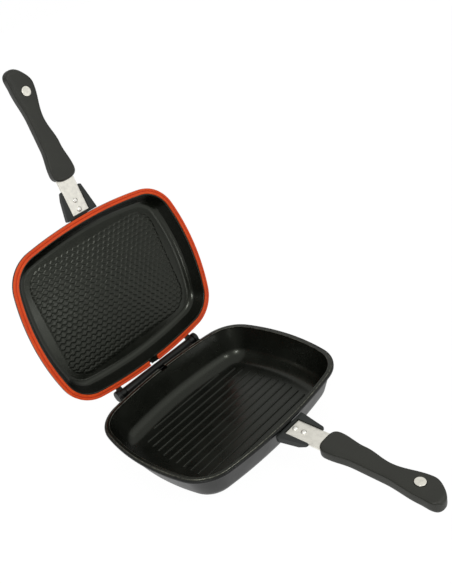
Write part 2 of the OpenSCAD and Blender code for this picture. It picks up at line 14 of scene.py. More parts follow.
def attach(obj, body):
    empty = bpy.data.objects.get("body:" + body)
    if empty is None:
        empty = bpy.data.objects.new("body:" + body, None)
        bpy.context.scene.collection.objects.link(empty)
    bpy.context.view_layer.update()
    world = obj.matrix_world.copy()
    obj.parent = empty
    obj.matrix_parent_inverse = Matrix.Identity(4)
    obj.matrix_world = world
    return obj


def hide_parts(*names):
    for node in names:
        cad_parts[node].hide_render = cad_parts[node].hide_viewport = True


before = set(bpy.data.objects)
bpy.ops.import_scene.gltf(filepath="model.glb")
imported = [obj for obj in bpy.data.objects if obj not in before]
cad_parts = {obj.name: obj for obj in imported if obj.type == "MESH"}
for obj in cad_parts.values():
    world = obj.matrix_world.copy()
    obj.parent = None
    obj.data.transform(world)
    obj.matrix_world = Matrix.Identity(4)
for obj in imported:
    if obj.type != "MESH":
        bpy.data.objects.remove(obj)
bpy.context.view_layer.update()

MM = 0.001
SMOOTH_ANGLE = 35.0          # degrees at which an edge of a built mesh stays sharp, or is bevelled
CAD_SMOOTH_ANGLE = 30.0      # the same for a mesh taken from the CAD

# ---------------------------------------------------------------- driving sizes, in millimetres
RIM_WIDTH = 242.0
RIM_LENGTH = 300.0
LONG_RADIUS = 615.0
SHORT_RADIUS = 310.0
CORNER_RADIUS = 54.0

BASE = dict(height=53.0, floor=4.6, rim_t=4.5, reach=4.5, slope=20.0, wall=3.2,
            outer_r=26.0, inner_r=24.0, grow=0.0)
LID = dict(height=27.0, floor=3.0, rim_t=4.5, reach=6.5, slope=24.0, wall=3.0,
           outer_r=15.0, inner_r=12.0, grow=1.2)

RIB_COUNT = 13
RIB_PITCH = 13.25
RIB_WIDTH = 2.6
RIB_HEIGHT = 1.5
RIB_REACH = 99.0
RIB_CORNER_CUT = 20.0

SEAL_WIDTH = 7.8
SEAL_PROUD = 1.8
SEAL_GAP = 0.3
VENT_LENGTH = 17.0
TONGUE_W = 2.6
TONGUE_H = 2.2
NOTCH_WIDTH = 11.0
NOTCH_DEPTH = 4.0
SLOT_WIDTH = 7.0
SLOT_DEPTH = 2.4
STEAM_REACH = 14.0           # how far the notch and the slot reach in from the hinge side
OUTLET_Y = (-8.0, -3.0)
OUTLET_REACH = 3.2
OUTLET_HEIGHT = 6.0

AXIS_X = -RIM_WIDTH / 2 - 7.0
AXIS_Z = BASE["height"] - 2.0
OPEN_ANGLE = 102.0
BARREL_HALF = 65.5
BARREL_R = 6.0
KNUCKLE_LENGTH = 8.2
KNUCKLE_R = 6.2
DRUM_LENGTH = 6.5
DRUM_R = 8.5
PLAY = 0.4
HEEL_LENGTH = 14.0
HEEL_GAP = 0.15

STRAP_TOP = BASE["height"] - 6.3
STRAP_T = 2.5
STRAP_START = RIM_WIDTH / 2 + 5.0
RIVET_PLACES = (STRAP_START + 5.0, STRAP_START + 18.2)
RIVET_HEAD = 7.6
RIVET_HEAD_H = 2.2
SHANK_R = 2.49
BRACKET_FLOOR = 3.0
LUG_WIDTH = 24.0
LUG_T = 6.0
LUG_RIB_H = 9.0
LUG_RIB_T = 3.4
LUG_Z = STRAP_TOP - STRAP_T - BRACKET_FLOOR - LUG_T
LUG_END = RIVET_PLACES[1] + RIVET_HEAD / 2 + 3.0

GRIP_START = RIM_WIDTH / 2 + 53.0
GRIP_LENGTH = 156.0
GRIP_END = GRIP_START + GRIP_LENGTH
GRIP_TOP = BASE["height"] - 0.6
GRIP_T = 17.0
MAGNET_X = GRIP_END - 31.5
MAGNET_D = 13.5
MAGNET_T = 4.2
MAGNET_SIDES = 64
SCREW_X = GRIP_START + 44.0
SCREW_SEAT_R = 4.1
SCREW_SEAT_DEPTH = 3.4
CLOSED_Z = BASE["height"] + SEAL_GAP / 2
LID_RIM_Z = BASE["height"] + SEAL_GAP + SEAL_PROUD
HANDLE_SLOPE = 1.45      # degrees down from the rim, with the pan shut
HANDLE_SPREAD = 0.25     # degrees that each handle stands off from the other
MAGNET_TOP = CLOSED_Z - 0.4 + (MAGNET_X - GRIP_START) * math.tan(math.radians(HANDLE_SPREAD))

# ---------------------------------------------------------------- the outline, of tangent arcs
HALF_W = RIM_WIDTH / 2
HALF_L = RIM_LENGTH / 2


def circle_meet(a, ra, b, rb):
    span = math.dist(a, b)
    u = ((b[0] - a[0]) / span, (b[1] - a[1]) / span)
    along = (ra * ra - rb * rb + span * span) / (2 * span)
    across = math.sqrt(ra * ra - along * along)
    return (a[0] + along * u[0] - across * u[1], a[1] + along * u[1] + across * u[0])


LONG_C = (HALF_W - LONG_RADIUS, 0.0)
SHORT_C = (0.0, HALF_L - SHORT_RADIUS)
CORNER_C = circle_meet(LONG_C, LONG_RADIUS - CORNER_RADIUS, SHORT_C, SHORT_RADIUS - CORNER_RADIUS)
LONG_END = math.atan2(CORNER_C[1] - LONG_C[1], CORNER_C[0] - LONG_C[0])
CORNER_END = math.atan2(CORNER_C[1] - SHORT_C[1], CORNER_C[0] - SHORT_C[0])


def outline_arcs():
    """(centre, radius, start, stop) of each arc, counterclockwise from the middle of the hinge
    side."""
    cx, cy = CORNER_C
    pi = math.pi
    return [
        ((-LONG_C[0], 0.0), LONG_RADIUS, pi, pi + LONG_END),
        ((-cx, -cy), CORNER_RADIUS, pi + LONG_END, pi + CORNER_END),
        ((0.0, -SHORT_C[1]), SHORT_RADIUS, pi + CORNER_END, 2 * pi - CORNER_END),
        ((cx, -cy), CORNER_RADIUS, 2 * pi - CORNER_END, 2 * pi - LONG_END),
        (LONG_C, LONG_RADIUS, 2 * pi - LONG_END, 2 * pi + LONG_END),
        ((cx, cy), CORNER_RADIUS, 2 * pi + LONG_END, 2 * pi + CORNER_END),
        (SHORT_C, SHORT_RADIUS, 2 * pi + CORNER_END, 3 * pi - CORNER_END),
        ((-cx, cy), CORNER_RADIUS, 3 * pi - CORNER_END, 3 * pi - LONG_END),
        ((-LONG_C[0], 0.0), LONG_RADIUS, 3 * pi - LONG_END, 3 * pi),
    ]


def outline_places(step, gap=0.0):
    """Rows of centre x, centre y, radius, cos and sin, about step apart; gap leaves out that much
    of the hinge side, and then the rows run from one edge of it to the other."""
    rows = []
    arcs = outline_arcs()
    for k, (centre, radius, start, stop) in enumerate(arcs):
        if gap and k == 0:
            start += math.asin(gap / 2 / radius)
        if gap and k == len(arcs) - 1:
            stop -= math.asin(gap / 2 / radius)
        count = max(6, math.ceil(radius * (stop - start) / step))
        for i in range(count):
            a = start + (stop - start) * i / count
            rows.append((centre[0], centre[1], radius, math.cos(a), math.sin(a)))
        if gap and k == len(arcs) - 1:
            rows.append((centre[0], centre[1], radius, math.cos(stop), math.sin(stop)))
    return np.array(rows)


def ring(places, out, z):
    r = places[:, 2] + out
    return np.column_stack([places[:, 0] + r * places[:, 3], places[:, 1] + r * places[:, 4],
                            np.full(len(places), z)])


def inset_depth(x, y):
    """How far inside the rim's outline a point lies, for arrays of coordinates."""
    x, y = np.abs(x), np.abs(y)
    side = LONG_RADIUS - np.hypot(x - LONG_C[0], y)
    end = SHORT_RADIUS - np.hypot(x, y - SHORT_C[1])
    corner = CORNER_RADIUS - np.hypot(x - CORNER_C[0], y - CORNER_C[1])
    depth = np.minimum(side, end)
    in_corner = (x > CORNER_C[0]) & (y > CORNER_C[1])
    return np.where(in_corner, np.minimum(depth, corner), depth)


def arc(cx, cz, radius, start, stop, steps):
    return [(cx + radius * math.cos(math.radians(a)), cz + radius * math.sin(math.radians(a)))
            for a in np.linspace(start, stop, steps + 1)]


# ---------------------------------------------------------------- mesh helpers
def sweep(places, section, closed_path=True, closed_section=False):
    """Vertices and faces of a section of (out, z) points swept round the outline. An open section
    gets a cap over its first row and its last one, an open path one at each end."""
    n = len(places)
    rows = len(section)
    verts = np.vstack([ring(places, out, z) for out, z in section])
    faces = []
    path = n if closed_path else n - 1
    for row in range(rows if closed_section else rows - 1):
        nxt = (row + 1) % rows
        for j in range(path):
            k = (j + 1) % n
            faces.append((row * n + j, row * n + k, nxt * n + k, nxt * n + j))
    if not closed_section:
        faces.append(tuple(range(n))[::-1])
        faces.append(tuple((rows - 1) * n + j for j in range(n)))
    if closed_section and not closed_path:
        faces.append(tuple(row * n for row in range(rows)))
        faces.append(tuple(row * n + n - 1 for row in reversed(range(rows))))
    return verts, faces


def revolve(profile, steps=48):
    """A solid turned about +Z from (radius, height) points; its two ends are closed flat."""
    verts, faces = [], []
    for r, h in profile:
        for i in range(steps):
            a = 2 * math.pi * i / steps
            verts.append((r * math.cos(a), r * math.sin(a), h))
    for row in range(len(profile) - 1):
        for i in range(steps):
            k = (i + 1) % steps
            faces.append((row * steps + i, row * steps + k, (row + 1) * steps + k,
                          (row + 1) * steps + i))
    faces.append(tuple(reversed(range(steps))))
    faces.append(tuple((len(profile) - 1) * steps + i for i in range(steps)))
    return np.array(verts), faces


def box_mesh(lo, hi):
    x0, y0, z0 = lo
    x1, y1, z1 = hi
    verts = [(x0, y0, z0), (x1, y0, z0), (x1, y1, z0), (x0, y1, z0),
             (x0, y0, z1), (x1, y0, z1), (x1, y1, z1), (x0, y1, z1)]
    faces = [(0, 3, 2, 1), (4, 5, 6, 7), (0, 1, 5, 4), (1, 2, 6, 5), (2, 3, 7, 6), (3, 0, 4, 7)]
    return np.array(verts, float), faces


def prism(points, y0, y1):
    """A solid between y0 and y1 with a profile of (x, z) points."""
    n = len(points)
    verts = [(x, y0, z) for x, z in points] + [(x, y1, z) for x, z in points]
    faces = [tuple(range(n)), tuple(reversed(range(n, 2 * n)))]
    faces += [(i, i + n, (i + 1) % n + n, (i + 1) % n) for i in range(n)]
    return np.array(verts, float), faces


def along_y(mesh, y, mirrored=False):
    """Turns a solid of revolution so that its +Z lies along +Y from y, on the hinge axis."""
    verts, faces = mesh
    out = np.column_stack([verts[:, 0] + AXIS_X, verts[:, 2] + y, AXIS_Z - verts[:, 1]])
    if mirrored:
        out[:, 1] *= -1
        faces = [f[::-1] for f in faces]
    return out, faces


def moved(mesh, dx=0.0, dy=0.0, dz=0.0):
    return mesh[0] + np.array([dx, dy, dz]), mesh[1]


def opened(mesh):
    """Turns what is drawn on the closed lid to the open lid."""
    a = math.radians(OPEN_ANGLE)
    x, z = mesh[0][:, 0] - AXIS_X, mesh[0][:, 2] - AXIS_Z
    out = np.column_stack([AXIS_X + x * math.cos(a) - z * math.sin(a), mesh[0][:, 1],
                           AXIS_Z + x * math.sin(a) + z * math.cos(a)])
    return out, mesh[1]


def turned_over(mesh):
    """Puts a pan that stands on its foot upside down on the seal."""
    out = mesh[0].copy()
    out[:, 2] = LID_RIM_Z + LID["height"] - out[:, 2]
    return out, [f[::-1] for f in mesh[1]]


def on_lid(mesh):
    """The lid's copy of a base handle piece, on the open lid."""
    out = mesh[0].copy()
    out[:, 2] = 2 * CLOSED_Z - out[:, 2]
    return opened((out, [f[::-1] for f in mesh[1]]))


def bent(mesh, slope):
    """Bends a handle piece down by an angle, from where the strap enters the grip."""
    a = math.radians(slope)
    x, z = mesh[0][:, 0] - GRIP_START, mesh[0][:, 2] - STRAP_TOP
    out = np.column_stack([GRIP_START + x * math.cos(a) + z * math.sin(a), mesh[0][:, 1],
                           STRAP_TOP - x * math.sin(a) + z * math.cos(a)])
    return out, mesh[1]


def build(name, meshes, material, angle=SMOOTH_ANGLE, bevel=0.0):
    """One object from closed meshes, shaded smooth across edges flatter than the given angle."""
    bm = bmesh.new()
    for verts, faces in meshes:
        made = [bm.verts.new(Vector(v) * MM) for v in verts]
        for f in faces:
            bm.faces.new([made[i] for i in f])
    bmesh.ops.recalc_face_normals(bm, faces=bm.faces)
    mesh = bpy.data.meshes.new(name)
    bm.to_mesh(mesh)
    bm.free()
    mesh.polygons.foreach_set("use_smooth", [True] * len(mesh.polygons))
    mesh.set_sharp_from_angle(angle=math.radians(angle))
    obj = bpy.data.objects.new(name, mesh)
    bpy.context.scene.collection.objects.link(obj)
    mesh.materials.append(material)
    if bevel:
        apply_bevel(obj, bevel)
    return obj


def apply_modifiers(obj):
    depsgraph = bpy.context.evaluated_depsgraph_get()
    mesh = bpy.data.meshes.new_from_object(obj.evaluated_get(depsgraph))
    obj.modifiers.clear()
    obj.data = mesh


def apply_bevel(obj, width, segments=2):
    mod = obj.modifiers.new("soft_edges", "BEVEL")
    mod.width = width * MM
    mod.segments = segments
    mod.limit_method = "ANGLE"
    mod.angle_limit = math.radians(SMOOTH_ANGLE)
    mod.harden_normals = True
    apply_modifiers(obj)


def cut_away(obj, cutters):
    """Takes each closed cutter out of the object."""
    for k, mesh in enumerate(cutters):
        tool = build(f"cutter_{k}", [mesh], obj.data.materials[0])
        mod = obj.modifiers.new("cut", "BOOLEAN")
        mod.operation = "DIFFERENCE"
        mod.solver = "EXACT"
        mod.object = tool
        apply_modifiers(obj)
        bpy.data.objects.remove(tool)
    obj.data.polygons.foreach_set("use_smooth", [True] * len(obj.data.polygons))
    obj.data.set_sharp_from_angle(angle=math.radians(SMOOTH_ANGLE))


def joined(name, objs):
    """One object from several, which keep their materials."""
    bpy.ops.object.select_all(action="DESELECT")
    for o in objs:
        o.select_set(True)
    bpy.context.view_layer.objects.active = objs[0]
    bpy.ops.object.join()
    objs[0].name = name
    objs[0].data.name = name
    return objs[0]


def softened(node, name, material, width, segments=2):
    """A copy of a CAD node with its edges rounded, to stand for that node."""
    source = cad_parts[node]
    bm = bmesh.new()
    bm.from_mesh(source.data)
    bmesh.ops.remove_doubles(bm, verts=bm.verts, dist=1e-6)
    bmesh.ops.dissolve_limit(bm, angle_limit=math.radians(1), verts=bm.verts, edges=bm.edges)
    mesh = bpy.data.meshes.new(name)
    bm.to_mesh(mesh)
    bm.free()
    mesh.polygons.foreach_set("use_smooth", [True] * len(mesh.polygons))
    mesh.set_sharp_from_angle(angle=math.radians(CAD_SMOOTH_ANGLE))
    obj = bpy.data.objects.new(name, mesh)
    bpy.context.scene.collection.objects.link(obj)
    mesh.materials.clear()
    mesh.materials.append(material)
    apply_bevel(obj, width, segments)
    return obj


# ---------------------------------------------------------------- materials
MIX_A, MIX_B, MIX_RESULT = 6, 7, 2      # the colour sockets of a Mix node
SPECK = (0.05, 0.05, 0.047)


def new_material(name):
    mat = bpy.data.materials.new(name)
    mat.use_nodes = True
    tree = mat.node_tree
    tree.nodes.clear()
    out = tree.nodes.new("ShaderNodeOutputMaterial")
    shader = tree.nodes.new("ShaderNodeBsdfPrincipled")
    tree.links.new(shader.outputs["BSDF"], out.inputs["Surface"])
    return mat, tree, shader


def object_coords(tree, scale=(1.0, 1.0, 1.0)):
    coords = tree.nodes.new("ShaderNodeTexCoord")
    mapping = tree.nodes.new("ShaderNodeMapping")
    mapping.inputs["Scale"].default_value = scale
    tree.links.new(coords.outputs["Object"], mapping.inputs["Vector"])
    return mapping.outputs["Vector"]


def noise(tree, vector, scale, detail=3.0, roughness=0.5):
    node = tree.nodes.new("ShaderNodeTexNoise")
    node.inputs["Scale"].default_value = scale
    node.inputs["Detail"].default_value = detail
    node.inputs["Roughness"].default_value = roughness
    tree.links.new(vector, node.inputs["Vector"])
    return node.outputs["Fac"]


def ramp(tree, value, stops):
    """A colour ramp with (position, colour) stops."""
    node = tree.nodes.new("ShaderNodeValToRGB")
    elements = node.color_ramp.elements
    while len(elements) < len(stops):
        elements.new(0.5)
    for element, (place, color) in zip(elements, stops):
        element.position = place
        element.color = (*color, 1.0)
    tree.links.new(value, node.inputs["Fac"])
    return node.outputs["Color"]


def remap(tree, value, low, high, start=0.0, stop=1.0):
    node = tree.nodes.new("ShaderNodeMapRange")
    node.inputs["From Min"].default_value = start
    node.inputs["From Max"].default_value = stop
    node.inputs["To Min"].default_value = low
    node.inputs["To Max"].default_value = high
    tree.links.new(value, node.inputs["Value"])
    return node.outputs["Result"]


def bump(tree, shader, height, distance, strength):
    node = tree.nodes.new("ShaderNodeBump")
    node.inputs["Distance"].default_value = distance * MM
    node.inputs["Strength"].default_value = strength
    tree.links.new(height, node.inputs["Height"])
    tree.links.new(node.outputs["Normal"], shader.inputs["Normal"])


def coated_pan(name, dark, light, roughness, specular, tint, coat=0.15, peel=0.022):
    """Sprayed non-stick coating: a fine orange-peel grain, a faint cloudiness and rare pale
    specks."""
    mat, tree, shader = new_material(name)
    vector = object_coords(tree)
    cloud = noise(tree, vector, 35.0, 4.0)
    color = ramp(tree, cloud, [(0.35, dark), (0.65, light)])
    grain = noise(tree, vector, 2600.0, 2.0)
    specks = remap(tree, grain, 0.0, 1.0, 0.70, 0.76)
    mix = tree.nodes.new("ShaderNodeMix")
    mix.data_type = "RGBA"
    tree.links.new(specks, mix.inputs["Factor"])
    tree.links.new(color, mix.inputs[MIX_A])
    mix.inputs[MIX_B].default_value = (*SPECK, 1.0)
    tree.links.new(mix.outputs[MIX_RESULT], shader.inputs["Base Color"])
    tree.links.new(remap(tree, cloud, roughness - 0.04, roughness + 0.05, 0.3, 0.7),
                   shader.inputs["Roughness"])
    shader.inputs["Specular IOR Level"].default_value = specular
    shader.inputs["Specular Tint"].default_value = (*tint, 1.0)
    shader.inputs["Coat Weight"].default_value = coat
    shader.inputs["Coat Roughness"].default_value = 0.14
    bump(tree, shader, noise(tree, vector, 900.0, 3.0), peel, 0.5)
    return mat


def rim_highlight_paint(name):
    """Painted highlight for a rim: a paler, part-metallic colour in patches, which draws thin light
    lines along its edges.
    """
    mat, tree, shader = new_material(name)
    vector = object_coords(tree)
    patchiness = noise(tree, vector, 240.0, 4.0)
    tree.links.new(ramp(tree, patchiness, [(0.3, (0.02, 0.02, 0.016)), (0.7, (0.12, 0.12, 0.095))]),
                   shader.inputs["Base Color"])
    tree.links.new(remap(tree, patchiness, 0.26, 0.36, 0.3, 0.7), shader.inputs["Roughness"])
    shader.inputs["Metallic"].default_value = 0.6
    bump(tree, shader, noise(tree, vector, 900.0, 3.0), 0.03, 0.5)
    return mat


def moulded_plastic(name, color, roughness, grain, specular=0.35):
    """Moulded handle plastic with an eroded grain and slight wear in its gloss."""
    mat, tree, shader = new_material(name)
    vector = object_coords(tree)
    cloud = noise(tree, vector, 28.0, 4.0)
    lighter = tuple(c * 1.25 for c in color)
    tree.links.new(ramp(tree, cloud, [(0.3, color), (0.7, lighter)]), shader.inputs["Base Color"])
    tree.links.new(remap(tree, cloud, roughness - 0.05, roughness + 0.07, 0.3, 0.7),
                   shader.inputs["Roughness"])
    shader.inputs["Specular IOR Level"].default_value = specular
    bump(tree, shader, noise(tree, vector, 1500.0, 3.0), grain, 0.7)
    return mat


def metal(name, color, roughness, stretch, mottle=0.14):
    """Steel with a grain drawn out by the stretch, and a mottling that darkens it in patches."""
    mat, tree, shader = new_material(name)
    shader.inputs["Metallic"].default_value = 1.0
    vector = object_coords(tree, stretch)
    lines = noise(tree, vector, 900.0, 3.0)
    cloud = noise(tree, object_coords(tree), 160.0, 3.0)
    darker = tuple(c * (1 - mottle) for c in color)
    tree.links.new(ramp(tree, cloud, [(0.3, darker), (0.6, color)]), shader.inputs["Base Color"])
    tree.links.new(remap(tree, lines, roughness - 0.07, roughness + 0.09, 0.3, 0.7),
                   shader.inputs["Roughness"])
    bump(tree, shader, lines, 0.02, 0.6)
    return mat


def silicone(name, color, deep):
    """Pigmented silicone with a soft bloom, that runs to a deeper colour in patches."""
    mat, tree, shader = new_material(name)
    vector = object_coords(tree)
    cloud = noise(tree, vector, 60.0, 3.0)
    tree.links.new(ramp(tree, cloud, [(0.25, deep), (0.75, color)]), shader.inputs["Base Color"])
    tree.links.new(remap(tree, cloud, 0.38, 0.5, 0.3, 0.7), shader.inputs["Roughness"])
    shader.inputs["Specular IOR Level"].default_value = 0.18
    shader.inputs["Subsurface Weight"].default_value = 0.08
    shader.inputs["Subsurface Radius"].default_value = (0.004, 0.001, 0.0005)
    bump(tree, shader, noise(tree, vector, 1200.0, 2.0), 0.02, 0.5)
    return mat


OLIVE = (0.94, 1.0, 0.82)
INNER = coated_pan("coating_inside", (0.0022, 0.0026, 0.0018), (0.0036, 0.0041, 0.0030),
                   0.27, 0.28, OLIVE)
INNER_LID = coated_pan("coating_embossed", (0.0022, 0.0027, 0.0018), (0.0036, 0.0042, 0.0029),
                       0.22, 0.30, OLIVE, peel=0.12)
OUTER = coated_pan("coating_outside", (0.0030, 0.0031, 0.0029), (0.0048, 0.0049, 0.0046),
                   0.36, 0.22, (0.97, 1.0, 0.95), coat=0.03)
# Painted highlight for the base rim's groove and inner lip
RIM_HIGHLIGHT = rim_highlight_paint("coating_painted_highlight")
GRIP_PLASTIC = moulded_plastic("grip_plastic", (0.0155, 0.0162, 0.0120), 0.46, 0.04)
BRACKET_PLASTIC = moulded_plastic("bracket_plastic", (0.011, 0.013, 0.0115), 0.42, 0.03)
STEEL = metal("strap_steel", (0.86, 0.84, 0.76), 0.42, (1.0, 12.0, 12.0))
RIVET_STEEL = metal("rivet_steel", (0.84, 0.83, 0.77), 0.40, (1.0, 1.0, 1.0))
DARK_STEEL = metal("blackened_steel", (0.09, 0.09, 0.09), 0.4, (1.0, 1.0, 1.0))
MAGNET_METAL = metal("magnet_nickel", (0.84, 0.82, 0.73), 0.36, (1.0, 1.0, 1.0), mottle=0.20)
SILICONE = silicone("seal_silicone", (0.60, 0.066, 0.009), (0.50, 0.048, 0.007))
# Painted shade: a deeper red for the hollow between the seal's lips
SEAL_GROOVE_SHADE = silicone("seal_hollow_painted_shade", (0.46, 0.028, 0.004), (0.42, 0.024, 0.004))


# ---------------------------------------------------------------- the pans
OUTLINE_STEP = 3.0
EDGE_R = 1.4                 # of the outer edges of a rim
UNDER_R = 1.3                # of the hollow between a rim and the wall under it
LIP_R = 1.1                  # of the edge between a rim and the inner wall


def wall_place(pan, z):
    """How far out of the rim's outline the outer wall lies at a height."""
    return -pan["reach"] - (pan["height"] - pan["rim_t"] - z) * math.tan(math.radians(pan["slope"]))


def pan_section(pan, land, fall=0.0):
    """The section of a pan on its foot, as (out of the rim's outline, height): foot, outer wall,
    rim with the land's points on its top, inner wall and floor. The rim's outer edge falls away by
    as much as given."""
    slope = math.radians(pan["slope"])
    grow, height, rim_t = pan["grow"], pan["height"], pan["rim_t"]
    out_r, in_r = pan["outer_r"], pan["inner_r"]
    outer_x = grow + wall_place(pan, out_r) - out_r / math.cos(slope)
    inner_z = pan["floor"] + in_r
    inner_x = grow + wall_place(pan, inner_z) - (pan["wall"] + in_r) / math.cos(slope)
    lip = grow - pan["reach"] - pan["wall"] / math.cos(slope)
    under = height - rim_t
    foot = [(outer_x - 14, 0), (outer_x - 3, 0)]
    outside = arc(outer_x, out_r, out_r, -90, -pan["slope"], 16)
    wall = [(grow + wall_place(pan, z), z) for z in np.linspace(out_r + 3, under - 2.5, 5)]
    hollow = arc(grow - pan["reach"] + UNDER_R, under - UNDER_R, UNDER_R,
                 180 - pan["slope"], 90, 5)
    rim = arc(grow - EDGE_R, under + EDGE_R, EDGE_R, -90, 0, 5)
    rim += arc(grow - EDGE_R, height - EDGE_R - fall, EDGE_R, 0, 76 if fall else 90, 6)
    inner_lip = arc(lip + LIP_R, height - LIP_R, LIP_R, 90, 180 - pan["slope"], 6)
    low = np.linspace(height - 2.6, inner_z + 1, 6)
    inner_wall = [(grow + wall_place(pan, z) - pan["wall"] / math.cos(slope), z) for z in low]
    inside = arc(inner_x, inner_z, in_r, -pan["slope"], -90, 18)
    floor = [(inner_x - 2, pan["floor"]), (inner_x - 8, pan["floor"])]
    return foot + outside + wall + hollow + rim + land + inner_lip + inner_wall + inside + floor


def wall_middle(pan, own_z):
    """How far out of the rim's outline the middle of a wall lies, at a height on the pan's foot."""
    slope = math.radians(pan["slope"])
    centre_z = pan["floor"] + pan["inner_r"]
    middle_r = pan["inner_r"] + pan["wall"] / 2
    if own_z >= centre_z - middle_r * math.sin(slope):
        return pan["grow"] + wall_place(pan, own_z) - pan["wall"] / 2 / math.cos(slope)
    centre = (pan["grow"] + wall_place(pan, centre_z)
              - (pan["wall"] + pan["inner_r"]) / math.cos(slope))
    return centre + math.sqrt(max(0.0, middle_r ** 2 - (centre_z - own_z) ** 2))


def smooth_groove(centre, half, depth, z):
    """A rounded V groove in a rim's top, from its outer edge to its inner edge."""
    return [(centre + half * (1 - 2 * t), z - depth * math.sin(math.pi * t) ** 2)
            for t in np.linspace(0, 1, 9)]


def paint(obj, material, test):
    """Gives another material to the faces whose middle passes the test, in millimetres."""
    obj.data.materials.append(material)
    index = len(obj.data.materials) - 1
    for face in obj.data.polygons:
        if test(face.center / MM, face.normal):
            face.material_index = index


def rib_mesh(x, half):
    """A cast rib that flares into the floor and runs out in a round end."""
    crown = RIB_WIDTH / 2
    floor = BASE["floor"]
    profile = [(crown + 0.5, -0.6), (crown + 0.5, 0.02), (crown + 0.16, 0.12), (crown, 0.5)]
    profile += [(crown * math.cos(a), RIB_HEIGHT - crown * 0.85 + crown * 0.85 * math.sin(a))
                for a in np.linspace(0.1, math.pi / 2, 7)]
    cross = profile + [(-px, pz) for px, pz in reversed(profile[:-1])]
    n = len(cross)
    runs = [(half - crown + crown * math.sin(a), max(0.04, math.cos(a)))
            for a in np.linspace(0, math.pi / 2, 8)]
    stations = [(-y, s) for y, s in reversed(runs)] + runs
    verts, faces = [], []
    for y, scale in stations:
        end = y + (0.0 if scale > 0.99 else math.copysign(1.3 * (1 - scale), y))
        verts += [(x + px * scale, end, floor + (pz if pz <= 0.1 else pz * scale ** 0.6))
                  for px, pz in cross]
    for s in range(len(stations) - 1):
        for i in range(n):
            k = (i + 1) % n
            faces.append((s * n + i, s * n + k, (s + 1) * n + k, (s + 1) * n + i))
    faces.append(tuple(range(n))[::-1])
    faces.append(tuple((len(stations) - 1) * n + i for i in range(n)))
    return np.array(verts), faces


def ribs():
    meshes = []
    for i in range(RIB_COUNT):
        x = (i - (RIB_COUNT - 1) / 2) * RIB_PITCH
        outermost = i in (0, RIB_COUNT - 1)
        half = RIB_REACH - x * x / (2 * SHORT_RADIUS) - (RIB_CORNER_CUT if outermost else 0)
        meshes.append(rib_mesh(x, half))
    return meshes


def bowed_prism(outside, inside, y0, y1, steps):
    """A solid between y0 and y1 with a profile of (x, z) points, of which those inside follow the
    bow of the hinge side."""
    n = len(outside) + len(inside)
    verts = []
    for y in np.linspace(y0, y1, steps + 1):
        bow = LONG_RADIUS - math.sqrt(LONG_RADIUS ** 2 - y * y)
        verts += [(x, y, z) for x, z in outside] + [(x + bow, y, z) for x, z in inside]
    faces = [tuple(range(n)), tuple(reversed(range(steps * n, (steps + 1) * n)))]
    for s in range(steps):
        for i in range(n):
            k = (i + 1) % n
            faces.append((s * n + i, (s + 1) * n + i, (s + 1) * n + k, s * n + k))
    return np.array(verts), faces


SEAT = 0.97                  # where a web or an arm starts in its tube, as a share of the radius
WEB_DROP = 21.0              # from the base rim to the foot of the webs


def base_hinge_meshes():
    """The barrel, its web to the wall, and the two drums with theirs."""
    def web(y0, y1, radius, steps):
        seat = SEAT * radius
        foot_z = BASE["height"] - WEB_DROP
        outside = arc(AXIS_X, AXIS_Z, seat, 240, 240, 0) + [(AXIS_X, AXIS_Z + 0.4 * radius)]
        inside = [(-HALF_W + BASE["reach"], AXIS_Z)]
        inside += [(-HALF_W - wall_middle(BASE, z), z) for z in (AXIS_Z, foot_z)]
        return bowed_prism(outside, inside, y0, y1, steps)

    start = BARREL_HALF + KNUCKLE_LENGTH + 2 * PLAY
    barrel = [(BARREL_R - 0.6, 0.0), (BARREL_R, 0.6), (BARREL_R, 2 * BARREL_HALF - 0.6),
              (BARREL_R - 0.6, 2 * BARREL_HALF)]
    meshes = [along_y(revolve(barrel), -BARREL_HALF), web(-BARREL_HALF, BARREL_HALF, BARREL_R, 16)]
    drum = [(DRUM_R - 0.6, 0.0), (DRUM_R, 0.6), (DRUM_R, DRUM_LENGTH - 1.5)]
    drum += [(DRUM_R - 1.5 + 1.5 * math.cos(a), DRUM_LENGTH - 1.5 + 1.5 * math.sin(a))
             for a in np.linspace(0.2, math.pi / 2, 6)]
    for mirrored in (False, True):
        meshes.append(along_y(revolve(drum), start, mirrored))
        y0, y1 = start, start + DRUM_LENGTH - 1.5
        meshes.append(web(-y1, -y0, DRUM_R, 2) if mirrored else web(y0, y1, DRUM_R, 2))
    return meshes


def lug_meshes(pan, height_at):
    """The cast lug under a handle bracket, with a rib along each edge, from inside the pan's wall.
    height_at gives a height on the pan's own foot for a height on the base."""
    def root(z):
        return HALF_W + wall_middle(pan, height_at(z)), z

    low = LUG_Z - LUG_RIB_H
    inner_end = LUG_WIDTH / 2 - LUG_RIB_T
    slab = [root(z) for z in np.linspace(LUG_Z, LUG_Z + LUG_T, 5)]
    slab += [(LUG_END, LUG_Z + LUG_T), (LUG_END, LUG_Z)]
    meshes = [prism(slab, -LUG_WIDTH / 2, LUG_WIDTH / 2)]
    side = [root(z) for z in np.linspace(low, LUG_Z + 1, 7)]
    side += [(LUG_END - LUG_T, LUG_Z + 1), (LUG_END - LUG_T, LUG_Z), (HALF_W - 12, low)]
    for y0, y1 in ((inner_end, LUG_WIDTH / 2), (-LUG_WIDTH / 2, -inner_end)):
        meshes.append(prism(side, y0, y1))
    return meshes


BEAD_X = -2.9                # a groove round the top of the base rim
BEAD_HALF = 0.7
BEAD_DEPTH = 0.6
RIM_FALL = 0.33
LIP_HIGHLIGHT = (0.1, 0.9)        # the band of the inner lip that carries the painted highlight, from the inner wall
